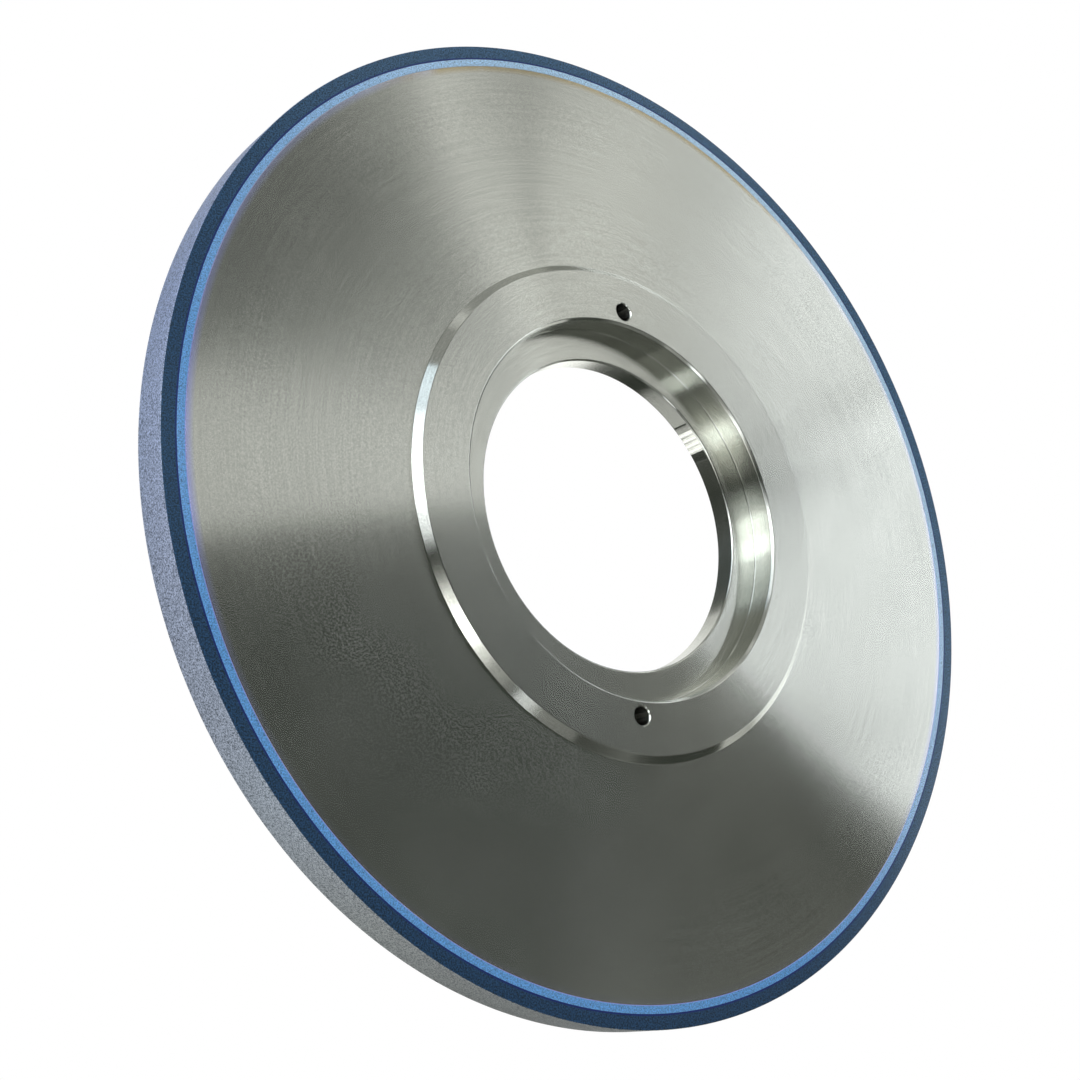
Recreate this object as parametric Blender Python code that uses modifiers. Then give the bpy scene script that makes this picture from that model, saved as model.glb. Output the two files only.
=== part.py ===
"""Diamond grinding wheel: a turned steel core with a two-layer rim of fired segments glued round it.

Metres, +Z up. The wheel stands on edge and spins about Y. The side with the raised hub is the
front and faces -Y. The origin is on the axis, in the plane of the flange seat at the bottom of the
counterbore, which is also halfway through the hub.

Every piece is modelled lying on its back, axis along +Z and front up, as it would lie on a bench.
The empty "spindle_axis" that they are parented to stands the wheel up.
"""

import math

import bmesh
import bpy

MM = 0.001

# Driving dimensions of the whole wheel
WHEEL_RADIUS = 200.0 * MM
RIM_WIDTH = 17.3 * MM
HUB_PROUD = 4.0 * MM
SEGMENTS = 28

# Radial build of the rim, from the outside in
ABRASIVE_DEPTH = 5.7 * MM
BASE_DEPTH = 2.8 * MM
ADHESIVE_DEPTH = 0.3 * MM
LAYER_GAP = 0.2 * MM
JOINT_GAP = 0.2 * MM

# Raised hub
HUB_FACE_RADIUS = 100.0 * MM
HUB_BEVEL = 3.0 * MM
WEB_CROWN = 1.0 * MM

# Counterbore with the flange seat, and the spindle bore
COUNTERBORE_RADIUS = 78.5 * MM
COUNTERBORE_CHAMFER = 1.0 * MM
BORE_RADIUS = 65.0 * MM
BORE_FRONT_CHAMFER = 0.5 * MM
BORE_BACK_CHAMFER = 2.0 * MM

# Axial slot in the wall of the bore, open to the back
SLOT_WIDTH = 10.2 * MM
SLOT_DEPTH = 0.8 * MM
SLOT_LIP = 1.0 * MM
SLOT_ANGLE = math.radians(41.0)

# Pair of round holes through the hub
PIN_HOLE_RADIUS = 3.8 * MM
PIN_HOLE_CHAMFER = 0.4 * MM
PIN_CIRCLE_RADIUS = 85.0 * MM
PIN_HOLE_ANGLES = (math.radians(90.0), math.radians(270.0))

# How finely the round shapes are divided
FACETS_PER_SEGMENT = 4
PIN_HOLE_FACETS = 24
CUTTER_OVERSHOOT = 1.0 * MM
MERGE_DISTANCE = 0.00001

# Heights on the bench: the flange seat is at zero, and the hub is as thick above it as below
HUB_THICKNESS = RIM_WIDTH + HUB_PROUD
HUB_FRONT = HUB_THICKNESS / 2
RIM_FRONT = HUB_FRONT - HUB_PROUD
WHEEL_BACK = -HUB_THICKNESS / 2

# Radii of the rim's layers
ABRASIVE_INNER = WHEEL_RADIUS - ABRASIVE_DEPTH
BASE_OUTER = ABRASIVE_INNER - LAYER_GAP
BASE_INNER = BASE_OUTER - BASE_DEPTH
ADHESIVE_OUTER = BASE_INNER - LAYER_GAP
ADHESIVE_INNER = ADHESIVE_OUTER - ADHESIVE_DEPTH
CORE_RADIUS = ADHESIVE_INNER - LAYER_GAP


def clear_scene():
    """Remove the objects of the start-up scene."""
    for old in list(bpy.data.objects):
        bpy.data.objects.remove(old, do_unlink=True)


def new_collection(name):
    """Add a collection to the scene."""
    collection = bpy.data.collections.new(name)
    bpy.context.scene.collection.children.link(collection)
    return collection


def new_material(name, color, roughness, metallic):
    """Make a plain Principled material; the colour is linear."""
    material = bpy.data.materials.new(name)
    material.use_nodes = True
    shader = material.node_tree.nodes["Principled BSDF"]
    shader.inputs["Base Color"].default_value = (*color, 1.0)
    shader.inputs["Roughness"].default_value = roughness
    shader.inputs["Metallic"].default_value = metallic
    return material


def new_object(name, mesh, collection, parent):
    """Put a mesh in the scene under the wheel's empty."""
    item = bpy.data.objects.new(name, mesh)
    collection.objects.link(item)
    item.parent = parent
    return item


def turned(name, outline, closed, steps, collection, parent):
    """Turn an outline of (radius, height) points about Z."""
    bm = bmesh.new()
    verts = [bm.verts.new((radius, 0.0, height)) for radius, height in outline]
    for first, second in zip(verts, verts[1:]):
        bm.edges.new((first, second))
    if closed:
        bm.edges.new((verts[-1], verts[0]))
    mesh = bpy.data.meshes.new(name)
    bm.to_mesh(mesh)
    bm.free()
    item = new_object(name, mesh, collection, parent)
    screw = item.modifiers.new("Turn", "SCREW")
    screw.axis = "Z"
    screw.angle = math.tau
    screw.steps = steps
    screw.render_steps = steps
    screw.use_merge_vertices = True
    screw.merge_threshold = MERGE_DISTANCE
    return item


def sector(name, inner, outer, start, sweep, collection, parent):
    """Sweep a rectangle round Z to make one closed segment of the rim."""
    bm = bmesh.new()
    corners = ((inner, WHEEL_BACK), (outer, WHEEL_BACK), (outer, RIM_FRONT), (inner, RIM_FRONT))
    across = (math.cos(start), math.sin(start))
    verts = [bm.verts.new((radius * across[0], radius * across[1], height)) for radius, height in corners]
    face = bm.faces.new(verts)
    bmesh.ops.spin(
        bm,
        geom=[face, *face.edges, *face.verts],
        cent=(0.0, 0.0, 0.0),
        axis=(0.0, 0.0, 1.0),
        angle=sweep,
        steps=FACETS_PER_SEGMENT,
    )
    bmesh.ops.recalc_face_normals(bm, faces=bm.faces)
    mesh = bpy.data.meshes.new(name)
    bm.to_mesh(mesh)
    bm.free()
    mesh.shade_smooth()
    mesh.set_sharp_from_angle(angle=math.radians(30.0))
    return new_object(name, mesh, collection, parent)


def hide_cutter(cutter):
    """Mark an object as a cutter only."""
    cutter.hide_render = True
    cutter.display_type = "WIRE"


def cut(target, cutter):
    """Take a cutter away from a piece."""
    boolean = target.modifiers.new("Cut " + cutter.name, "BOOLEAN")
    boolean.operation = "DIFFERENCE"
    boolean.solver = "EXACT"
    boolean.object = cutter


def pin_hole_cutter(index, angle, collection, parent):
    """A drill with a countersink at each end, for one of the small holes in the hub."""
    top = HUB_FRONT + CUTTER_OVERSHOOT
    flare = CUTTER_OVERSHOOT + PIN_HOLE_CHAMFER
    outline = [
        (0.0, top),
        (PIN_HOLE_RADIUS + flare, top),
        (PIN_HOLE_RADIUS, top - flare),
        (PIN_HOLE_RADIUS, flare - top),
        (PIN_HOLE_RADIUS + flare, -top),
        (0.0, -top),
    ]
    name = f"cutter_pin_hole_{index}"
    cutter = turned(name, outline, False, PIN_HOLE_FACETS, collection, parent)
    cutter.location = (PIN_CIRCLE_RADIUS * math.cos(angle), PIN_CIRCLE_RADIUS * math.sin(angle), 0.0)
    hide_cutter(cutter)
    return cutter


def slot_cutter(collection, parent):
    """A block that cuts the axial slot in the bore, up to the lip under the flange seat."""
    front = -SLOT_LIP
    back = WHEEL_BACK - CUTTER_OVERSHOOT
    inner = BORE_RADIUS - SLOT_WIDTH
    outer = BORE_RADIUS + SLOT_DEPTH
    bm = bmesh.new()
    bmesh.ops.create_cube(bm, size=1.0)
    bmesh.ops.scale(bm, vec=(outer - inner, SLOT_WIDTH, front - back), verts=bm.verts)
    bmesh.ops.translate(bm, vec=((outer + inner) / 2, 0.0, (front + back) / 2), verts=bm.verts)
    mesh = bpy.data.meshes.new("cutter_slot")
    bm.to_mesh(mesh)
    bm.free()
    cutter = new_object("cutter_slot", mesh, collection, parent)
    cutter.rotation_euler = (0.0, 0.0, SLOT_ANGLE)
    hide_cutter(cutter)
    return cutter


def steel_core(collection, cutters, parent, steps):
    """The turned core: web, raised hub, counterbore, flange seat and bore in one piece."""
    outline = [
        (CORE_RADIUS, RIM_FRONT),
        (CORE_RADIUS, WHEEL_BACK),
        (BORE_RADIUS + BORE_BACK_CHAMFER, WHEEL_BACK),
        (BORE_RADIUS, WHEEL_BACK + BORE_BACK_CHAMFER),
        (BORE_RADIUS, -BORE_FRONT_CHAMFER),
        (BORE_RADIUS + BORE_FRONT_CHAMFER, 0.0),
        (COUNTERBORE_RADIUS, 0.0),
        (COUNTERBORE_RADIUS, HUB_FRONT - COUNTERBORE_CHAMFER),
        (COUNTERBORE_RADIUS + COUNTERBORE_CHAMFER, HUB_FRONT),
        (HUB_FACE_RADIUS, HUB_FRONT),
        (HUB_FACE_RADIUS + HUB_BEVEL, RIM_FRONT + WEB_CROWN),
    ]
    core = turned("steel_core", outline, True, steps, collection, parent)
    for index, angle in enumerate(PIN_HOLE_ANGLES, start=1):
        cut(core, pin_hole_cutter(index, angle, cutters, parent))
    cut(core, slot_cutter(cutters, parent))
    core.data.materials.append(new_material("turned_steel", (0.56, 0.58, 0.56), 0.28, 1.0))


def adhesive_layer(collection, parent, steps):
    """The thin sleeve of epoxy between the core and the segments."""
    outline = [
        (ADHESIVE_OUTER, RIM_FRONT),
        (ADHESIVE_OUTER, WHEEL_BACK),
        (ADHESIVE_INNER, WHEEL_BACK),
        (ADHESIVE_INNER, RIM_FRONT),
    ]
    layer = turned("adhesive_layer", outline, True, steps, collection, parent)
    layer.data.materials.append(new_material("cured_epoxy", (0.62, 0.57, 0.38), 0.45, 0.0))


def rim_segments(collection, parent):
    """The fired segments, each a base layer with the diamond layer outside it."""
    base_material = new_material("vitrified_base", (0.25, 0.42, 0.68), 0.75, 0.0)
    abrasive_material = new_material("vitrified_diamond_layer", (0.035, 0.07, 0.13), 0.8, 0.0)
    layers = (
        ("base_segment", BASE_INNER, BASE_OUTER, base_material),
        ("abrasive_segment", ABRASIVE_INNER, WHEEL_RADIUS, abrasive_material),
    )
    pitch = math.tau / SEGMENTS
    joint = JOINT_GAP / WHEEL_RADIUS
    for index in range(SEGMENTS):
        start = index * pitch + joint / 2
        for stem, inner, outer, material in layers:
            name = f"{stem}_{index + 1:02d}"
            segment = sector(name, inner, outer, start, pitch - joint, collection, parent)
            segment.data.materials.append(material)


def build():
    """Model the whole wheel."""
    clear_scene()
    wheel = new_collection("diamond_grinding_wheel")
    cutters = new_collection("cutters")
    axis = bpy.data.objects.new("spindle_axis", None)
    axis.rotation_euler = (math.radians(90.0), 0.0, 0.0)
    wheel.objects.link(axis)
    steps = SEGMENTS * FACETS_PER_SEGMENT
    steel_core(wheel, cutters, axis, steps)
    adhesive_layer(wheel, axis, steps)
    rim_segments(wheel, axis)


build()
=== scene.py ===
"""Looks for a diamond grinding wheel: turned steel core and a two-layer rim of fired segments.

The wheel stands on edge with its axis along Y, and its raised hub faces -Y. Sizes are in metres.
"""

import math

import bmesh
import bpy
from mathutils import Matrix, Quaternion, Vector


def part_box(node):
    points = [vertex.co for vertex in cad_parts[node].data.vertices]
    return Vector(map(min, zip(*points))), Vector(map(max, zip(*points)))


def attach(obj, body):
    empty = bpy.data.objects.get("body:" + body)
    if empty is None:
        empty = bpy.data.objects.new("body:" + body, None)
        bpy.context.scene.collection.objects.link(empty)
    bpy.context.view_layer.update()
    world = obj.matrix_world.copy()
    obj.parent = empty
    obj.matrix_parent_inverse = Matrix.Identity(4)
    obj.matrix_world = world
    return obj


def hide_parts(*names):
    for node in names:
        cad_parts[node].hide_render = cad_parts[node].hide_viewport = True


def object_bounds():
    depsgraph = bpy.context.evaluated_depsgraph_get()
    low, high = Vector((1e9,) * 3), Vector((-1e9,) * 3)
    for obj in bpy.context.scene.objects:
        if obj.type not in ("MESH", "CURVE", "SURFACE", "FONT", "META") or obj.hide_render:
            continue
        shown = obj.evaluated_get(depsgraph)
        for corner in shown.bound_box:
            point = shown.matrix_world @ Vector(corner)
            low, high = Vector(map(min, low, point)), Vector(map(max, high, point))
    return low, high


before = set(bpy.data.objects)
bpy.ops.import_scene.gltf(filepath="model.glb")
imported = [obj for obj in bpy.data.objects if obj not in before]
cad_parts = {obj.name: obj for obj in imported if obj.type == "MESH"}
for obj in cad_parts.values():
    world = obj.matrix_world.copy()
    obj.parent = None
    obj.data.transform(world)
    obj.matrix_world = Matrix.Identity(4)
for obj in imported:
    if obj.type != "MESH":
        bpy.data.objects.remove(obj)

bl_info = {
    "name": "Diamond Grinding Wheel",
    "version": (1, 0, 0),
    "blender": (4, 5, 0),
    "location": "View3D > Sidebar > Grinding Wheel",
    "description": "Models a diamond grinding wheel: its steel core, vitrified rim and finishes",
    "category": "Mesh",
}

MM = 0.001
BODY = "root"

# How finely the shapes are divided, and from what angle an edge is sharp
MERGE = 0.002 * MM
SHARP_ANGLE = math.radians(12.0)
RING_FACETS = 512
SEGMENT_FACETS = 14
HOLE_FACETS = 64
FLUTE_FACETS = 96
FLOOR_FACETS = 96
EDGE_FACETS = 2
FILLET_FACETS = 3
RUNNING_EDGE_FACETS = 4

# How far a cutter reaches past the steel, and how many flutes the slot's floor has
CLEARANCE = 1.0 * MM
FLUTES = 4

# Sizes of the patterns in the finishes, and how many pieces a turning mark breaks into in a radian
MARK_PITCH = 0.8 * MM
MARKS_IN_A_RADIAN = 5.0
STEEL_GRAIN = 0.6 * MM
STEEL_WAVES = 22.0 * MM
HAZE_SMEAR = 14.0 * MM
HAZE_WANDER = 60.0 * MM
EPOXY_SMEAR = 12.0 * MM
GRIT_CLUSTER = 0.55 * MM
DARK_GRIT_CLUSTER = 0.6 * MM
PORE_PITCH = 1.7 * MM

# Directions across the wheel, out from the axis: towards the painted sheen, and towards the painted bluish
# light
PAINTED_SHEEN_SIDE = (0.6, 0.0, 0.8)
BLUE_LIGHT_SIDE = (-0.77, 0.0, 0.64)

# Colours of the lights and the backdrop, and of the room where it has no light
WHITE = (1.0, 1.0, 1.0)
DAYLIGHT = (0.91, 0.94, 1.0)
SKY = (0.70, 0.84, 1.0)
DIM_ROOM = (0.044, 0.049, 0.042)

# Softboxes that face the wheel: name, azimuth, elevation and roll in degrees, width and height in metres,
# radiance, and a colour where it isn't white. Azimuth starts in front of the wheel and turns towards +X.
LIGHT_DISTANCE = 3.0
SOFTBOXES = (
    ("right_low", 70, 6, -37, 1.55, 1.10, 2.2, DAYLIGHT),
    ("right_strip", 61, 42, -22, 0.30, 2.35, 3.1, DAYLIGHT),
    ("right_edge", 52, 18, -49, 0.15, 0.95, 4.2, DAYLIGHT),
    ("near_lower", 41, 25, 0, 0.50, 0.55, 1.0),
    ("near_upper", 43, 37, 0, 0.45, 0.55, 0.8),
    ("near_left", 34, 37, 0, 0.25, 0.55, 0.65),
    ("upper_right", 27, 56, 72, 1.25, 0.80, 0.85),
    ("far_right", 85, -10, 0, 1.20, 1.20, 1.0),
    ("low_right", 52, -10, 20, 1.75, 0.80, 0.2),
    ("overhead", 12, 80, 25, 4.80, 4.50, 0.3),
    ("upper_left", -30, 70, 60, 0.40, 1.10, 0.5),
    ("left_band", 0, 17, 16, 4.50, 0.45, 0.5),
    ("left_wall", -60, 12, 38, 2.20, 2.00, 1.8, DAYLIGHT),
    ("left_upper", -42, 30, 0, 0.70, 1.60, 2.4, DAYLIGHT),
    ("left_front", -48, 14, 0, 1.20, 1.00, 2.6, DAYLIGHT),
    ("low_left", -66, -35, -18, 2.40, 1.60, 1.9),
    ("low_front", -38, -33, 0, 0.60, 0.60, 4.5, DAYLIGHT),
    ("low_centre", -4, -49, 0, 0.45, 0.40, 5.0, DAYLIGHT),
    ("floor_left", -33, -44, 20, 1.60, 1.30, 0.45),
    ("floor_middle", 8, -52, 0, 1.20, 1.20, 0.45),
    ("floor_right", 45, -45, 0, 1.60, 1.20, 0.2),
    ("back_key", 160, 35, 0, 2.00, 1.60, 1.2),
    ("back_fill", 135, 0, 0, 1.60, 1.60, 1.6),
    ("back_low", -160, -45, 0, 2.60, 1.50, 0.6),
    ("back_slot", -147, -37, 0, 0.70, 0.70, 2.6),
    ("left_sky", -80, 35, 0, 2.00, 2.20, 1.6, SKY),
)

# Places that the frame gives
CAD_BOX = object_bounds()
CORE_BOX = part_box("steel_core")
RIM_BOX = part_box("abrasive_segment_01")
WHEEL_RADIUS = CAD_BOX[1].x
HUB_FRONT = CORE_BOX[0].y
WHEEL_BACK = CORE_BOX[1].y
RIM_FRONT = RIM_BOX[0].y
SEGMENTS = sum(name.startswith("abrasive_segment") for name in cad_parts)


# Sizes and colours that a user would change

def length(name, description, millimetres):
    """A size property with a length unit."""
    return bpy.props.FloatProperty(
        name=name,
        description=description,
        default=millimetres * MM,
        min=0.0,
        unit="LENGTH",
        precision=5,
    )


def angle(name, description, degrees):
    """An angle property."""
    return bpy.props.FloatProperty(
        name=name,
        description=description,
        default=math.radians(degrees),
        unit="ROTATION",
        subtype="ANGLE",
    )


def colour(name, description, hex_code):
    """A colour property, given as an sRGB hex value."""
    return bpy.props.FloatVectorProperty(
        name=name,
        description=description,
        default=linear(hex_code),
        size=3,
        min=0.0,
        max=1.0,
        subtype="COLOR",
    )


def linear(hex_code):
    """Turn an sRGB hex colour such as "8FB2DC" into linear values."""
    values = [int(hex_code[i:i + 2], 16) / 255 for i in (0, 2, 4)]
    return tuple(v / 12.92 if v <= 0.04045 else ((v + 0.055) / 1.055) ** 2.4 for v in values)


class CoreSizes(bpy.types.PropertyGroup):
    """Sizes of the turned steel core."""

    hub_radius: length("Hub radius", "Radius of the hub's flat face", 100.0)
    hub_bevel: length("Hub bevel", "Width of the bevel round the hub", 3.0)
    web_crown: length("Web crown", "How far the web stands proud of the rim at the hub", 1.0)
    counterbore_radius: length("Counterbore radius", "Radius of the counterbore's wall", 78.5)
    counterbore_chamfer: length("Counterbore chamfer", "Chamfer at the mouth of the counterbore", 1.0)
    seat_depth: length("Seat depth", "Depth of the flange seat below the hub's face", -HUB_FRONT / MM)
    bore_radius: length("Bore radius", "Radius of the spindle bore", 65.0)
    bore_front_chamfer: length("Bore front chamfer", "Chamfer between the flange seat and the bore", 0.5)
    bore_back_chamfer: length("Bore back chamfer", "Chamfer between the bore and the back", 2.0)
    edge_break: length("Edge break", "Width that a file takes off the sharp edges", 0.18)
    corner_fillet: length("Corner fillet", "Fillet between the counterbore's wall and the seat", 0.4)
    hole_radius: length("Hole radius", "Radius of the two small holes in the hub", 3.8)
    hole_chamfer: length("Hole chamfer", "Countersink of the two small holes", 0.4)
    hole_circle: length("Hole circle", "Radius of the circle that the small holes lie on", 85.0)
    slot_width: length("Slot width", "Width of the slot in the bore's wall", 10.2)
    slot_depth: length("Slot depth", "Depth of the slot in the bore's wall", 0.8)
    flute_radius: length("Flute radius", "Radius of the flutes on the slot's floor", 10.0)
    slot_lip: length("Slot lip", "Wall left between the slot and the flange seat", 1.0)
    slot_angle: angle("Slot angle", "Where the slot is, from +X towards +Z", 41.0)


class RimSizes(bpy.types.PropertyGroup):
    """Sizes of the vitrified rim and of its adhesive."""

    abrasive_depth: length("Diamond layer", "Radial depth of the diamond layer", 5.8)
    base_depth: length("Base layer", "Radial depth of the base layer", 2.85)
    bond_line: length("Bond line", "Thickness of the adhesive between core and rim", 0.2)
    joint: length("Joint", "Width of the joint between two segments", 0.02)
    outer_edge: length("Outer edge", "Rounding of the diamond layer's outer edges", 0.35)
    inner_edge: length("Inner edge", "Rounding of the layers' other edges", 0.08)


class Finishes(bpy.types.PropertyGroup):
    """Colours of the wheel's materials."""

    steel: colour("Steel", "Turned steel", "D1D3CA")
    epoxy: colour("Epoxy", "Cured adhesive", "A8A28C")
    blue_haze: colour("Blue haze", "Dusty glue haze on the steel beside the rim", "A0A8F0")
    straw_haze: colour("Straw haze", "Clear glue haze on the steel at the top", "B49C58")
    # Painted sheen: the glue haze's colour at the upper right, painted paler where the lights shine.
    sheen_lit_haze: colour("Pale haze", "Pale glue haze on the steel at the right", "E4E8F0")
    base: colour("Base layer", "Light blue vitrified base", "5A94CA")
    # Painted sheen: the base layer's colour at the upper right, painted paler where the lights shine.
    sheen_lit_base: colour("Dusty base layer", "Base layer where dressing dust lies on it", "ACCDE4")
    abrasive: colour("Diamond layer", "Sides of the diamond layer", "19324E")
    # Painted sheen: the diamond layer's colour at the upper right, painted paler where the lights shine.
    sheen_lit_abrasive: colour("Dusty diamond layer", "Diamond layer where dressing dust lies on it", "33506C")
    # Painted shadow: the dark navy line where the diamond layer meets the base layer.
    seam: colour("Seam", "Diamond layer where it meets the base layer", "0A0C60")
    # The running face's colour, and its colour at the upper left where bluish light is painted on.
    running_face: colour("Running face", "Running face where it is well dressed", "8A8B88")
    blue_lit_face: colour("Skimmed face", "Running face where it is barely dressed", "929CB8")


class StageSizes(bpy.types.PropertyGroup):
    """The floor and the camera."""

    floor_paint: colour("Floor paint", "Matt paint of the floor", "F3F3F3")
    floor_drop: length("Floor drop", "Height of the wheel above the floor", 60.0)
    floor_radius: length("Floor radius", "Radius of the round floor", 1600.0)
    lens: bpy.props.FloatProperty(
        name="Lens",
        description="Focal length of the camera in millimetres",
        default=53.72,
        min=1.0,
    )
    distance: length("Distance", "From the camera to the point it aims at", 612.1)
    aim_left: length("Aim left", "How far left of the axis the camera aims", 44.2)
    aim_down: length("Aim down", "How far below the axis the camera aims", 21.2)
    azimuth: angle("Azimuth", "Camera's heading, from +Y towards +X", 38.05)
    pitch: angle("Pitch", "How far up the camera looks", 18.02)
    roll: angle("Roll", "Camera's turn about its own line of sight", -1.57)


# Meshes

def core_edge(rim):
    """Radius at which the steel ends and the adhesive begins."""
    return WHEEL_RADIUS - rim.abrasive_depth - rim.base_depth - rim.bond_line


def to_piece(name, bm):
    """Turn a bmesh into an object at the origin: doubles merged, faces outwards, sharp edges marked."""
    bmesh.ops.remove_doubles(bm, verts=bm.verts, dist=MERGE)
    bmesh.ops.recalc_face_normals(bm, faces=bm.faces)
    mesh = bpy.data.meshes.new(name)
    bm.to_mesh(mesh)
    bm.free()
    mesh.shade_smooth()
    mesh.set_sharp_from_angle(angle=SHARP_ANGLE)
    piece = bpy.data.objects.new(name, mesh)
    bpy.context.scene.collection.objects.link(piece)
    return piece


def outline(bm, points, centre=(0.0, 0.0), closed=True):
    """Draw (radius, depth) points as edges beside an axis that runs along Y."""
    verts = [bm.verts.new((centre[0] + radius, depth, centre[1])) for radius, depth in points]
    pairs = list(zip(verts, verts[1:]))
    if closed:
        pairs.append((verts[-1], verts[0]))
    for pair in pairs:
        bm.edges.new(pair)
    return verts


def turn(bm, steps, centre=(0.0, 0.0)):
    """Spin everything in the bmesh once round an axis along Y, and close it."""
    bmesh.ops.spin(
        bm,
        geom=[*bm.verts, *bm.edges],
        cent=(centre[0], 0.0, centre[1]),
        axis=(0.0, -1.0, 0.0),
        angle=math.tau,
        steps=steps,
        use_merge=True,
    )
    bmesh.ops.remove_doubles(bm, verts=bm.verts, dist=MERGE)


def round_corners(bm, verts, width, segments):
    """Break the corners of an outline before it is turned."""
    bmesh.ops.bevel(
        bm, geom=verts, offset=width, segments=segments, profile=0.5, affect="VERTICES", material=-1
    )


def carve(piece, cutters):
    """Cut holes in a piece, leave the result in its mesh and remove the cutters."""
    for cutter in cutters:
        boolean = piece.modifiers.new("Cut", "BOOLEAN")
        boolean.operation = "DIFFERENCE"
        boolean.solver = "EXACT"
        boolean.object = cutter
    graph = bpy.context.evaluated_depsgraph_get()
    mesh = bpy.data.meshes.new_from_object(piece.evaluated_get(graph))
    piece.modifiers.clear()
    piece.data = mesh
    for cutter in cutters:
        bpy.data.objects.remove(cutter, do_unlink=True)
    mesh.shade_smooth()
    mesh.set_sharp_from_angle(angle=SHARP_ANGLE)


def hole_drill(name, sizes, place):
    """The shape of a straight hole with a countersink at both mouths."""
    front = HUB_FRONT - CLEARANCE
    back = WHEEL_BACK + CLEARANCE
    flare = CLEARANCE + sizes.hole_chamfer
    points = (
        (0.0, front),
        (sizes.hole_radius + flare, front),
        (sizes.hole_radius, front + flare),
        (sizes.hole_radius, back - flare),
        (sizes.hole_radius + flare, back),
        (0.0, back),
    )
    bm = bmesh.new()
    outline(bm, points, place, closed=False)
    turn(bm, HOLE_FACETS, place)
    return to_piece(name, bm)


def slot_mills(sizes):
    """The shapes of the passes that cut the axial slot in the bore: a flat one, then a row of flutes."""
    front = HUB_FRONT + sizes.seat_depth + sizes.slot_lip
    back = WHEEL_BACK + CLEARANCE
    middle = (front + back) / 2
    floor = sizes.bore_radius + sizes.slot_depth
    rise = sizes.flute_radius - math.sqrt(sizes.flute_radius ** 2 - (sizes.slot_width / FLUTES / 2) ** 2)
    inner = sizes.bore_radius - sizes.slot_width / 2
    outer = floor - rise
    swing = Matrix.Rotation(-sizes.slot_angle, 3, "Y")
    bm = bmesh.new()
    bmesh.ops.create_cube(bm, size=1.0)
    bmesh.ops.scale(bm, vec=(outer - inner, back - front, sizes.slot_width), verts=bm.verts)
    bmesh.ops.translate(bm, vec=((outer + inner) / 2, middle, 0.0), verts=bm.verts)
    bmesh.ops.rotate(bm, matrix=swing, verts=bm.verts)
    mills = [to_piece("slot_mill", bm)]
    for index in range(FLUTES):
        across = ((index + 0.5) / FLUTES - 0.5) * sizes.slot_width
        bm = bmesh.new()
        bmesh.ops.create_cone(
            bm,
            cap_ends=True,
            segments=FLUTE_FACETS,
            radius1=sizes.flute_radius,
            radius2=sizes.flute_radius,
            depth=back - front,
        )
        bmesh.ops.rotate(bm, matrix=Matrix.Rotation(math.radians(90.0), 3, "X"), verts=bm.verts)
        bmesh.ops.translate(bm, vec=(floor - sizes.flute_radius, middle, across), verts=bm.verts)
        bmesh.ops.rotate(bm, matrix=swing, verts=bm.verts)
        mills.append(to_piece(f"flute_mill_{index + 1}", bm))
    return mills


def segment_sweep(bm, inner, outer, inner_edge, outer_edge, start, sweep):
    """Sweep a rim section, with its corners rounded, round the axis to make one segment."""
    corners = [
        bm.verts.new((inner, RIM_FRONT, 0.0)),
        bm.verts.new((inner, WHEEL_BACK, 0.0)),
        bm.verts.new((outer, WHEEL_BACK, 0.0)),
        bm.verts.new((outer, RIM_FRONT, 0.0)),
    ]
    bm.faces.new(corners)
    round_corners(bm, corners[:2], inner_edge, EDGE_FACETS)
    outer_corners = [vert for vert in bm.verts if abs(vert.co.x - outer) < MERGE]
    round_corners(bm, outer_corners, outer_edge, RUNNING_EDGE_FACETS)
    bmesh.ops.rotate(bm, matrix=Matrix.Rotation(-start, 3, "Y"), verts=bm.verts)
    section = [*bm.faces, *bm.edges, *bm.verts]
    bmesh.ops.spin(
        bm,
        geom=section,
        cent=(0.0, 0.0, 0.0),
        axis=(0.0, -1.0, 0.0),
        angle=sweep,
        steps=SEGMENT_FACETS,
    )


# Materials

def add(tree, kind, inputs=None, **settings):
    """Add one shader node. An input is a value, a colour, or another node's output to link."""
    node = tree.nodes.new(kind)
    for name, value in settings.items():
        setattr(node, name, value)
    for key, value in (inputs or {}).items():
        socket = node.inputs[key]
        if isinstance(value, bpy.types.NodeSocket):
            tree.links.new(value, socket)
        elif socket.type == "RGBA":
            socket.default_value = (*value, 1.0)[:4]
        else:
            socket.default_value = value
    return node


def new_finish(name):
    """Start a material and return it with its node tree and its Principled shader."""
    material = bpy.data.materials.new(name)
    material.use_nodes = True
    tree = material.node_tree
    return material, tree, tree.nodes["Principled BSDF"]


def shade(rgb, factor):
    """A colour made lighter or darker."""
    return tuple(min(1.0, value * factor) for value in rgb)


def place_on_wheel(tree):
    """Outputs for a point's place, its distance from the axis, and its way out from the axis."""
    place = add(tree, "ShaderNodeTexCoord").outputs["Object"]
    flat = add(
        tree, "ShaderNodeVectorMath", {0: place, 1: (1.0, 0.0, 1.0)}, operation="MULTIPLY"
    ).outputs[0]
    radius = add(tree, "ShaderNodeVectorMath", {0: flat}, operation="LENGTH").outputs["Value"]
    outward = add(tree, "ShaderNodeVectorMath", {0: flat}, operation="NORMALIZE").outputs[0]
    return place, radius, outward


def lay_grooves(tree, shader, place):
    """Spread the highlight across the fine grooves that a lathe or a dresser leaves round the axis."""
    normal = add(tree, "ShaderNodeNewGeometry").outputs["Normal"]
    groove = add(
        tree, "ShaderNodeVectorMath", {0: (0.0, 1.0, 0.0), 1: place}, operation="CROSS_PRODUCT"
    ).outputs[0]
    across = add(tree, "ShaderNodeVectorMath", {0: normal, 1: groove}, operation="CROSS_PRODUCT").outputs[0]
    across = add(tree, "ShaderNodeVectorMath", {0: across}, operation="NORMALIZE").outputs[0]
    tree.links.new(across, shader.inputs["Tangent"])


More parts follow.
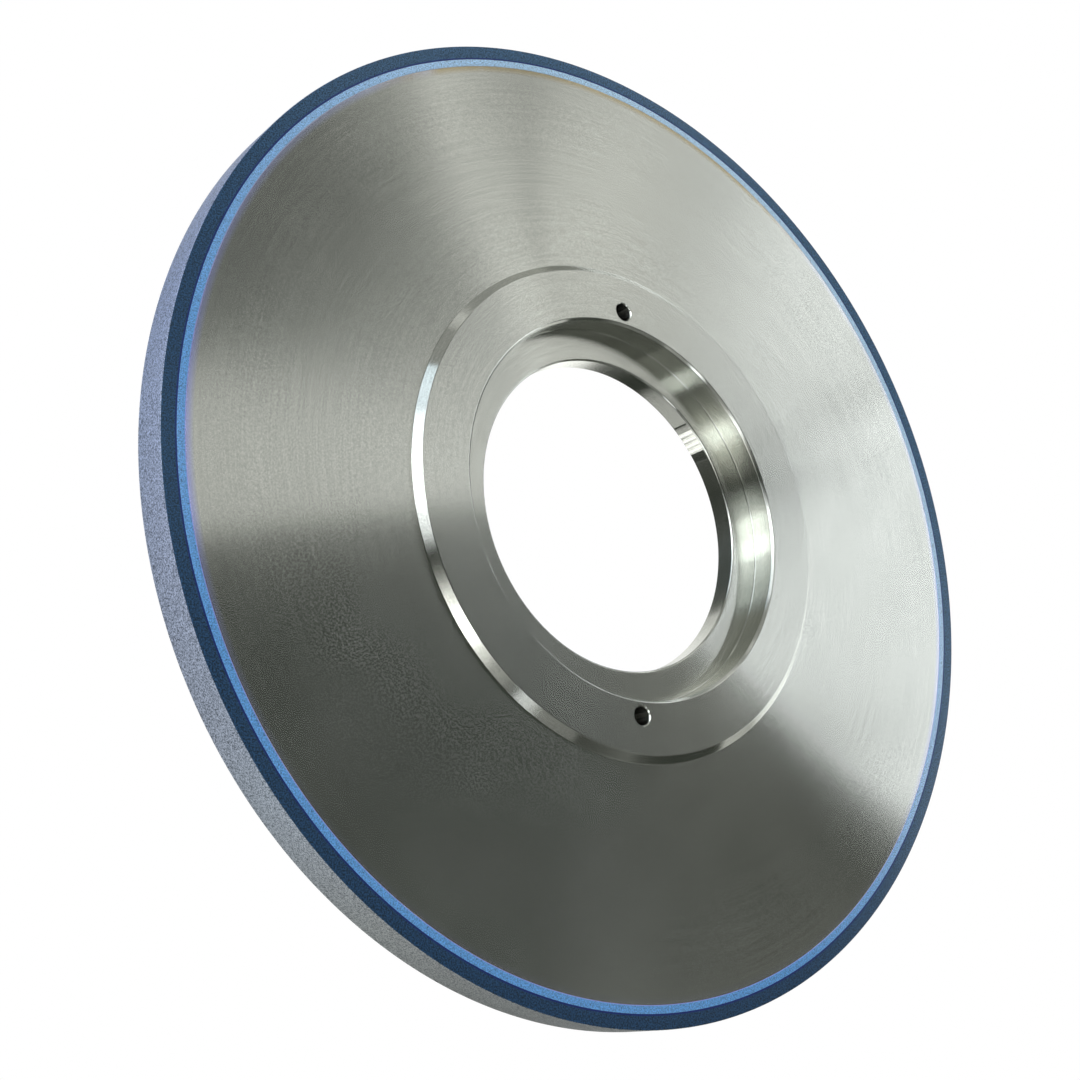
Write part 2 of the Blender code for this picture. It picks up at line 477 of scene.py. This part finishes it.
def turning_marks(tree, place, radius, outward):
    """Noise drawn out round the axis, as the broken lines that a lathe tool leaves."""
    depth = add(tree, "ShaderNodeSeparateXYZ", {0: place}).outputs["Y"]
    row = add(tree, "ShaderNodeMath", {0: radius, 1: depth}, operation="ADD").outputs[0]
    row = add(tree, "ShaderNodeMath", {0: row, 1: 1 / MARK_PITCH}, operation="MULTIPLY").outputs[0]
    row = add(tree, "ShaderNodeCombineXYZ", {"Y": row}).outputs[0]
    stretch = (MARKS_IN_A_RADIAN, MARKS_IN_A_RADIAN, MARKS_IN_A_RADIAN)
    spot = add(
        tree, "ShaderNodeVectorMath", {0: outward, 1: stretch, 2: row}, operation="MULTIPLY_ADD"
    ).outputs[0]
    return add(
        tree, "ShaderNodeTexNoise", {"Vector": spot, "Scale": 1.0, "Detail": 1.0, "Roughness": 0.4}
    ).outputs[0]


def painted_sheen_mask(tree, outward):
    """How much painted sheen lies on a place: most at the upper right, where the lights on the right shine.
    """
    side = add(
        tree, "ShaderNodeVectorMath", {0: outward, 1: PAINTED_SHEEN_SIDE}, operation="DOT_PRODUCT"
    ).outputs["Value"]
    return add(tree, "ShaderNodeMapRange", {"Value": side, "From Min": -0.5, "From Max": 0.8}).outputs[0]


def fine_turned_steel(finishes, core, rim):
    """Alloy steel, finish-turned on a lathe: grooves run round the axis, so light fans out from it."""
    material, tree, shader = new_finish("fine_turned_steel")
    place, radius, outward = place_on_wheel(tree)
    # The real tool marks are 0.1 to 0.2 mm apart, too fine to show, so they are drawn 0.8 mm apart.
    marks = turning_marks(tree, place, radius, outward)
    marks = add(tree, "ShaderNodeMapRange", {"Value": marks, "From Min": 0.3, "From Max": 0.7}).outputs[0]
    # The steel's own grain is far finer than a tenth of a millimetre, and is drawn as 0.6 mm lumps.
    grain = add(
        tree, "ShaderNodeTexNoise", {"Vector": place, "Scale": 1 / STEEL_GRAIN, "Detail": 1.0}
    ).outputs[0]
    grain = add(tree, "ShaderNodeMapRange", {"Value": grain, "From Min": 0.3, "From Max": 0.7}).outputs[0]
    lines = add(
        tree,
        "ShaderNodeMix",
        {0: marks, 6: shade(finishes.steel, 0.92), 7: shade(finishes.steel, 1.08)},
        data_type="RGBA",
    ).outputs[2]
    speck = add(
        tree,
        "ShaderNodeMix",
        {0: grain, 6: shade(finishes.steel, 0.81), 7: shade(finishes.steel, 1.19)},
        data_type="RGBA",
    ).outputs[2]
    grey = add(tree, "ShaderNodeMix", {0: 0.5, 6: lines, 7: speck}, data_type="RGBA").outputs[2]
    # Painted shade inside the two small holes, deeper further in.
    grey = paint_hole_shade(tree, place, grey, core)
    grey, metal = rim_haze(tree, place, radius, outward, grey, finishes, rim)
    tree.links.new(grey, shader.inputs["Base Color"])
    tree.links.new(metal, shader.inputs["Metallic"])
    waves = add(tree, "ShaderNodeTexNoise", {"Vector": place, "Scale": 1 / STEEL_WAVES}).outputs[0]
    rough = add(
        tree,
        "ShaderNodeMapRange",
        {"Value": waves, "From Min": 0.3, "From Max": 0.7, "To Min": 0.174, "To Max": 0.184},
    ).outputs[0]
    # The hub and the flange seat are cut with a coarser feed than the web.
    hub_edge = {"From Min": core.hub_radius - 0.1 * MM, "From Max": core.hub_radius + 0.3 * MM}
    coarse = add(
        tree, "ShaderNodeMapRange", {"Value": radius, **hub_edge, "To Min": 0.012, "To Max": 0.0}
    ).outputs[0]
    rough = add(tree, "ShaderNodeMath", {0: rough, 1: coarse}, operation="ADD").outputs[0]
    tree.links.new(rough, shader.inputs["Roughness"])
    lay_grooves(tree, shader, place)
    # A turned face is wavy by a few thousandths of a millimetre, which bends the edges of reflections.
    bump = add(tree, "ShaderNodeBump", {"Height": waves, "Strength": 1.0, "Distance": 0.007 * MM})
    tree.links.new(bump.outputs[0], shader.inputs["Normal"])
    shader.inputs["Anisotropic"].default_value = 1.0
    return material


def paint_hole_shade(tree, place, grey, core):
    """Darken the steel inside the two small holes as painted shade, more further down."""
    spot = add(tree, "ShaderNodeVectorMath", {0: place}, operation="ABSOLUTE").outputs[0]
    spot = add(
        tree, "ShaderNodeVectorMath", {0: spot, 1: (0.0, 0.0, core.hole_circle)}, operation="SUBTRACT"
    ).outputs[0]
    spot = add(
        tree, "ShaderNodeVectorMath", {0: spot, 1: (1.0, 0.0, 1.0)}, operation="MULTIPLY"
    ).outputs[0]
    reach = add(tree, "ShaderNodeVectorMath", {0: spot}, operation="LENGTH").outputs["Value"]
    hole_edge = {"From Min": core.hole_radius + 0.02 * MM, "From Max": core.hole_radius + 0.1 * MM}
    outside = add(tree, "ShaderNodeMapRange", {"Value": reach, **hole_edge}).outputs[0]
    depth = add(tree, "ShaderNodeSeparateXYZ", {0: place}).outputs["Y"]
    shade_depth = {"From Min": HUB_FRONT + 0.5 * MM, "From Max": HUB_FRONT + 6.0 * MM}
    depth = add(
        tree, "ShaderNodeMapRange", {"Value": depth, **shade_depth, "To Min": 1.0, "To Max": 0.25}
    ).outputs[0]
    unshaded = add(tree, "ShaderNodeMath", {0: outside, 1: depth}, operation="MAXIMUM").outputs[0]
    return add(tree, "ShaderNodeVectorMath", {0: grey, "Scale": unshaded}, operation="SCALE").outputs[0]


def rim_haze(tree, place, radius, outward, grey, finishes, rim):
    """Glue haze on the last 3 mm of the steel: straw at the top and bluish elsewhere, painted paler at the
    upper right as painted sheen.
    """
    edge = core_edge(rim)
    band = add(
        tree,
        "ShaderNodeMapRange",
        {"Value": radius, "From Min": edge - 3.05 * MM, "From Max": edge - 0.65 * MM, "To Max": 0.6},
    ).outputs[0]
    low = add(tree, "ShaderNodeSeparateXYZ", {0: outward}).outputs["Z"]
    strength = add(
        tree, "ShaderNodeMapRange", {"Value": low, "From Min": -0.65, "From Max": -0.2, "To Min": 0.15}
    ).outputs[0]
    band = add(tree, "ShaderNodeMath", {0: band, 1: strength}, operation="MULTIPLY").outputs[0]
    height = add(tree, "ShaderNodeSeparateXYZ", {0: place}).outputs["Z"]
    smear = add(tree, "ShaderNodeTexNoise", {"Vector": place, "Scale": 1 / HAZE_SMEAR}).outputs[0]
    height = add(
        tree, "ShaderNodeMath", {0: smear, 1: HAZE_WANDER, 2: height}, operation="MULTIPLY_ADD"
    ).outputs[0]
    top = add(
        tree,
        "ShaderNodeMapRange",
        {"Value": height, "From Min": WHEEL_RADIUS * 0.86, "From Max": WHEEL_RADIUS * 1.02},
    ).outputs[0]
    # Painted sheen: the haze turns paler towards the upper right.
    tint = add(
        tree,
        "ShaderNodeMix",
        {0: painted_sheen_mask(tree, outward), 6: finishes.blue_haze, 7: finishes.sheen_lit_haze},
        data_type="RGBA",
    ).outputs[2]
    tint = add(
        tree, "ShaderNodeMix", {0: top, 6: tint, 7: finishes.straw_haze}, data_type="RGBA"
    ).outputs[2]
    grey = add(tree, "ShaderNodeMix", {0: band, 6: grey, 7: tint}, data_type="RGBA").outputs[2]
    metal = add(
        tree, "ShaderNodeMapRange", {"Value": band, "From Max": 0.6, "To Min": 1.0, "To Max": 0.84}
    ).outputs[0]
    return grey, metal


def cured_epoxy(finishes):
    """Cured two-part epoxy, wiped off flush: a thin, slightly glossy line, straw at the top, bluish below."""
    material, tree, shader = new_finish("cured_epoxy")
    place = add(tree, "ShaderNodeTexCoord").outputs["Object"]
    smear = add(
        tree, "ShaderNodeTexNoise", {"Vector": place, "Scale": 1 / EPOXY_SMEAR, "Detail": 3.0}
    ).outputs[0]
    height = add(tree, "ShaderNodeSeparateXYZ", {0: place}).outputs["Z"]
    top = add(tree, "ShaderNodeMapRange", {"Value": height, "From Max": WHEEL_RADIUS}).outputs[0]
    tint = add(
        tree,
        "ShaderNodeMix",
        {0: smear, 6: shade(finishes.epoxy, 0.75), 7: shade(finishes.epoxy, 1.15)},
        data_type="RGBA",
    ).outputs[2]
    tint = add(
        tree, "ShaderNodeMix", {0: top, 6: finishes.blue_haze, 7: tint}, data_type="RGBA"
    ).outputs[2]
    tree.links.new(tint, shader.inputs["Base Color"])
    bump = add(tree, "ShaderNodeBump", {"Height": smear, "Strength": 0.3, "Distance": 0.1 * MM})
    tree.links.new(bump.outputs[0], shader.inputs["Normal"])
    shader.inputs["Roughness"].default_value = 0.4
    return material


def fired_grain(tree, place, body, dark, light, grain, pores):
    """A fired, unglazed surface: grains darker and lighter than the body, with dark pores between."""
    grains = add(
        tree, "ShaderNodeTexNoise", {"Vector": place, "Scale": 1 / grain, "Detail": 1.0, "Roughness": 0.6}
    ).outputs[0]
    grains = add(
        tree, "ShaderNodeMapRange", {"Value": grains, "From Min": 0.34, "From Max": 0.66}
    ).outputs[0]
    cells = add(tree, "ShaderNodeTexVoronoi", {"Vector": place, "Scale": 1 / PORE_PITCH}).outputs["Distance"]
    solid = add(
        tree, "ShaderNodeMapRange", {"Value": cells, "From Min": pores * 0.6, "From Max": pores}
    ).outputs[0]
    tone = add(tree, "ShaderNodeMapRange", {"Value": grains, "To Min": dark, "To Max": light}).outputs[0]
    tone = add(
        tree, "ShaderNodeMapRange", {"Value": solid, "To Min": dark * 0.6, "To Max": tone}
    ).outputs[0]
    body = add(tree, "ShaderNodeVectorMath", {0: body, "Scale": tone}, operation="SCALE").outputs[0]
    return body, grains


def vitrified_base(finishes):
    """Vitrified ceramic with no diamond, fired and dressed: satin light blue, with small dark pores."""
    material, tree, shader = new_finish("fired_vitrified_base")
    place, _, outward = place_on_wheel(tree)
    # Painted sheen: the base layer is painted paler towards the upper right.
    body = add(
        tree,
        "ShaderNodeMix",
        {0: painted_sheen_mask(tree, outward), 6: finishes.base, 7: finishes.sheen_lit_base},
        data_type="RGBA",
    ).outputs[2]
    # The grit is about 0.1 mm; its clusters are drawn 0.55 mm across so that they show.
    body, grains = fired_grain(tree, place, body, 0.60, 1.40, GRIT_CLUSTER, 0.2)
    tree.links.new(body, shader.inputs["Base Color"])
    lay_grooves(tree, shader, place)
    bump = add(tree, "ShaderNodeBump", {"Height": grains, "Strength": 0.3, "Distance": 0.02 * MM})
    tree.links.new(bump.outputs[0], shader.inputs["Normal"])
    shader.inputs["Roughness"].default_value = 0.3
    shader.inputs["Anisotropic"].default_value = 0.9
    shader.inputs["Specular IOR Level"].default_value = 1.0
    return material


def vitrified_diamond(finishes, rim):
    """Diamond grit in a vitrified bond: dark blue as fired, and paler grey on the dressed running face."""
    material, tree, shader = new_finish("fired_vitrified_diamond")
    place, radius, outward = place_on_wheel(tree)
    # Painted sheen: the diamond layer's sides are painted paler towards the upper right.
    side = add(
        tree,
        "ShaderNodeMix",
        {0: painted_sheen_mask(tree, outward), 6: finishes.abrasive, 7: finishes.sheen_lit_abrasive},
        data_type="RGBA",
    ).outputs[2]
    # The grit is about 0.1 mm; its clusters are drawn 0.55 to 0.6 mm across so that they show.
    side, grains = fired_grain(tree, place, side, 0.10, 2.00, DARK_GRIT_CLUSTER, 0.18)
    inner = WHEEL_RADIUS - rim.abrasive_depth
    # The diamond layer's inner half millimetre is painted dark navy as the shadow of the gap between the
    # layers.
    clear_of_seam_shadow = add(
        tree,
        "ShaderNodeMapRange",
        {"Value": radius, "From Min": inner + 0.45 * MM, "From Max": inner + 0.8 * MM},
    ).outputs[0]
    side = add(tree, "ShaderNodeMix", {0: clear_of_seam_shadow, 6: finishes.seam, 7: side}, data_type="RGBA").outputs[2]
    # Painted bluish light: the running face turns lavender towards the upper left.
    blue_lit = add(
        tree, "ShaderNodeVectorMath", {0: outward, 1: BLUE_LIGHT_SIDE}, operation="DOT_PRODUCT"
    ).outputs["Value"]
    blue_lit = add(
        tree, "ShaderNodeMapRange", {"Value": blue_lit, "From Min": -0.1, "From Max": 0.95}
    ).outputs[0]
    face = add(
        tree,
        "ShaderNodeMix",
        {0: blue_lit, 6: finishes.running_face, 7: finishes.blue_lit_face},
        data_type="RGBA",
    ).outputs[2]
    face, _ = fired_grain(tree, place, face, 0.35, 1.70, GRIT_CLUSTER, 0.22)
    dressed = add(
        tree,
        "ShaderNodeMapRange",
        {"Value": radius, "From Min": WHEEL_RADIUS - 0.22 * MM, "From Max": WHEEL_RADIUS - 0.08 * MM},
    ).outputs[0]
    tint = add(tree, "ShaderNodeMix", {0: dressed, 6: side, 7: face}, data_type="RGBA").outputs[2]
    tree.links.new(tint, shader.inputs["Base Color"])
    lay_grooves(tree, shader, place)
    bump = add(tree, "ShaderNodeBump", {"Height": grains, "Strength": 0.4, "Distance": 0.03 * MM})
    tree.links.new(bump.outputs[0], shader.inputs["Normal"])
    shader.inputs["Roughness"].default_value = 0.42
    shader.inputs["Anisotropic"].default_value = 0.8
    shader.inputs["Specular IOR Level"].default_value = 0.8
    shader.inputs["Specular Tint"].default_value = (0.55, 0.85, 1.0, 1.0)
    return material


def finish(piece, material, slot, *nodes):
    """Give a piece its material, hang it on the body that it rides on, and hide the nodes that it stands for.
    """
    piece.data.materials.clear()
    piece.data.materials.append(material)
    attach(piece, BODY)
    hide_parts(*nodes)


# Operators

class WHEEL_OT_steel_core(bpy.types.Operator):
    """Turn the steel core, then drill its holes and mill its slot"""

    bl_idname = "wheel.steel_core"
    bl_label = "Steel core"

    def execute(self, context):
        sizes = context.scene.core_sizes
        rim = context.scene.rim_sizes
        edge = core_edge(rim)
        seat = HUB_FRONT + sizes.seat_depth
        points = (
            (edge, RIM_FRONT),
            (sizes.hub_radius + sizes.hub_bevel, RIM_FRONT - sizes.web_crown),
            (sizes.hub_radius, HUB_FRONT),
            (sizes.counterbore_radius + sizes.counterbore_chamfer, HUB_FRONT),
            (sizes.counterbore_radius, HUB_FRONT + sizes.counterbore_chamfer),
            (sizes.counterbore_radius, seat),
            (sizes.bore_radius + sizes.bore_front_chamfer, seat),
            (sizes.bore_radius, seat + sizes.bore_front_chamfer),
            (sizes.bore_radius, WHEEL_BACK - sizes.bore_back_chamfer),
            (sizes.bore_radius + sizes.bore_back_chamfer, WHEEL_BACK),
            (edge, WHEEL_BACK),
        )
        bm = bmesh.new()
        corners = outline(bm, points)
        seat_corner = corners.pop(points.index((sizes.counterbore_radius, seat)))
        round_corners(bm, corners, sizes.edge_break, EDGE_FACETS)
        round_corners(bm, [seat_corner], sizes.corner_fillet, FILLET_FACETS)
        turn(bm, RING_FACETS)
        core = to_piece("turned_steel_core", bm)
        drills = [hole_drill(f"drill_{side}", sizes, (0.0, side * sizes.hole_circle)) for side in (1, -1)]
        carve(core, [*drills, *slot_mills(sizes)])
        material = fine_turned_steel(context.scene.wheel_finishes, sizes, rim)
        finish(core, material, "turned_steel", "steel_core")
        return {"FINISHED"}


class WHEEL_OT_adhesive(bpy.types.Operator):
    """Lay the line of adhesive round the core"""

    bl_idname = "wheel.adhesive"
    bl_label = "Adhesive"

    def execute(self, context):
        rim = context.scene.rim_sizes
        inner = core_edge(rim)
        outer = inner + rim.bond_line
        sink = rim.inner_edge
        points = (
            (inner, RIM_FRONT + sink),
            (outer, RIM_FRONT + sink),
            (outer, WHEEL_BACK - sink),
            (inner, WHEEL_BACK - sink),
        )
        bm = bmesh.new()
        outline(bm, points)
        turn(bm, RING_FACETS)
        line = to_piece("epoxy_bond_line", bm)
        finish(line, cured_epoxy(context.scene.wheel_finishes), "cured_epoxy", "adhesive_layer")
        return {"FINISHED"}


def lay_segments(stem, node_stem, inner, outer, inner_edge, outer_edge, joint, material, slot):
    """Make one layer of every rim segment."""
    pitch = math.tau / SEGMENTS
    gap = joint / outer
    for index in range(SEGMENTS):
        bm = bmesh.new()
        start = index * pitch + gap / 2
        segment_sweep(bm, inner, outer, inner_edge, outer_edge, start, pitch - gap)
        piece = to_piece(f"{stem}_{index + 1:02d}", bm)
        finish(piece, material, slot, f"{node_stem}_{index + 1:02d}")


class WHEEL_OT_base_segments(bpy.types.Operator):
    """Press and fire the base layer of the rim segments"""

    bl_idname = "wheel.base_segments"
    bl_label = "Base segments"

    def execute(self, context):
        rim = context.scene.rim_sizes
        outer = WHEEL_RADIUS - rim.abrasive_depth
        material = vitrified_base(context.scene.wheel_finishes)
        lay_segments(
            "vitrified_base",
            "base_segment",
            outer - rim.base_depth,
            outer,
            rim.inner_edge,
            rim.inner_edge,
            rim.joint,
            material,
            "vitrified_base",
        )
        return {"FINISHED"}


class WHEEL_OT_abrasive_segments(bpy.types.Operator):
    """Press and fire the diamond layer of the rim segments"""

    bl_idname = "wheel.abrasive_segments"
    bl_label = "Diamond segments"

    def execute(self, context):
        rim = context.scene.rim_sizes
        material = vitrified_diamond(context.scene.wheel_finishes, rim)
        lay_segments(
            "diamond_layer",
            "abrasive_segment",
            WHEEL_RADIUS - rim.abrasive_depth,
            WHEEL_RADIUS,
            rim.inner_edge,
            rim.outer_edge,
            rim.joint,
            material,
            "vitrified_diamond",
        )
        return {"FINISHED"}


def softbox(name, azimuth, elevation, roll, width, height, radiance, glow=WHITE):
    """A rectangular light, placed by the direction in which the wheel's centre sees it."""
    data = bpy.data.lights.new(name, "AREA")
    data.shape = "RECTANGLE"
    data.size = width
    data.size_y = height
    data.energy = math.pi * radiance * width * height
    data.color = glow
    light = bpy.data.objects.new(name, data)
    bpy.context.scene.collection.objects.link(light)
    heading = math.radians(azimuth)
    rise = math.radians(elevation)
    level = math.cos(rise)
    way = Vector((math.sin(heading) * level, -math.cos(heading) * level, math.sin(rise)))
    spin = Quaternion((0.0, 0.0, 1.0), math.radians(roll))
    light.location = way * LIGHT_DISTANCE
    light.rotation_mode = "QUATERNION"
    light.rotation_quaternion = way.to_track_quat("Z", "Y") @ spin
    light.visible_camera = False


class WHEEL_OT_stage(bpy.types.Operator):
    """Set up the floor, the lights and the camera"""

    bl_idname = "wheel.stage"
    bl_label = "Stage"

    def execute(self, context):
        sizes = context.scene.stage_sizes
        self.floor(sizes)
        self.backdrop(context.scene)
        for box in SOFTBOXES:
            softbox(*box)
        self.camera(context.scene, sizes)
        return {"FINISHED"}

    def floor(self, sizes):
        """A plain pale floor. Some softboxes are below it, so it throws no shadow and isn't mirrored."""
        bm = bmesh.new()
        bmesh.ops.create_circle(bm, cap_ends=True, segments=FLOOR_FACETS, radius=sizes.floor_radius)
        level = CAD_BOX[0].z - sizes.floor_drop
        bmesh.ops.translate(bm, vec=(0.0, 0.0, level), verts=bm.verts)
        floor = to_piece("studio_floor", bm)
        material, _, shader = new_finish("matt_floor_paint")
        shader.inputs["Base Color"].default_value = (*sizes.floor_paint, 1.0)
        shader.inputs["Roughness"].default_value = 0.9
        floor.data.materials.append(material)
        floor.visible_glossy = False
        floor.visible_shadow = False

    def backdrop(self, scene):
        """White behind the wheel, and a dim room for the steel to reflect."""
        world = bpy.data.worlds.new("studio")
        scene.world = world
        world.use_nodes = True
        tree = world.node_tree
        tree.nodes.clear()
        rays = add(tree, "ShaderNodeLightPath").outputs["Is Camera Ray"]
        room = add(tree, "ShaderNodeBackground", {"Color": DIM_ROOM}).outputs[0]
        white = add(tree, "ShaderNodeBackground", {"Color": WHITE}).outputs[0]
        both = add(tree, "ShaderNodeMixShader", {0: rays, 1: room, 2: white}).outputs[0]
        add(tree, "ShaderNodeOutputWorld", {"Surface": both})
        scene.view_settings.view_transform = "Standard"

    def camera(self, scene, sizes):
        """A camera that looks up at the wheel from its left."""
        data = bpy.data.cameras.new("camera")
        data.lens = sizes.lens
        camera = bpy.data.objects.new("camera", data)
        scene.collection.objects.link(camera)
        turn_to = (
            Matrix.Rotation(-sizes.azimuth, 4, "Z")
            @ Matrix.Rotation(math.radians(90.0) + sizes.pitch, 4, "X")
            @ Matrix.Rotation(sizes.roll, 4, "Z")
        )
        aim = Vector((-sizes.aim_left, RIM_FRONT, -sizes.aim_down))
        back = turn_to.to_3x3() @ Vector((0.0, 0.0, 1.0))
        camera.matrix_world = Matrix.Translation(aim + back * sizes.distance) @ turn_to
        scene.camera = camera


class WHEEL_PT_panel(bpy.types.Panel):
    """Lists the wheel's pieces and the stage"""

    bl_label = "Grinding Wheel"
    bl_idname = "WHEEL_PT_panel"
    bl_space_type = "VIEW_3D"
    bl_region_type = "UI"
    bl_category = "Grinding Wheel"

    def draw(self, context):
        for step in STEPS:
            self.layout.operator(step.bl_idname)


STEPS = (
    WHEEL_OT_steel_core,
    WHEEL_OT_adhesive,
    WHEEL_OT_base_segments,
    WHEEL_OT_abrasive_segments,
    WHEEL_OT_stage,
)
GROUPS = {
    "core_sizes": CoreSizes,
    "rim_sizes": RimSizes,
    "wheel_finishes": Finishes,
    "stage_sizes": StageSizes,
}


def register():
    """Register the classes and hang the settings on the scene."""
    for item in (*GROUPS.values(), *STEPS, WHEEL_PT_panel):
        bpy.utils.register_class(item)
    for name, group in GROUPS.items():
        setattr(bpy.types.Scene, name, bpy.props.PointerProperty(type=group))


def unregister():
    """Undo register."""
    for name in GROUPS:
        delattr(bpy.types.Scene, name)
    for item in (WHEEL_PT_panel, *STEPS, *reversed(GROUPS.values())):
        bpy.utils.unregister_class(item)


def main():
    """Build the wheel."""
    register()
    for step in STEPS:
        group, name = step.bl_idname.split(".")
        getattr(getattr(bpy.ops, group), name)()


if __name__ == "__main__":
    main()
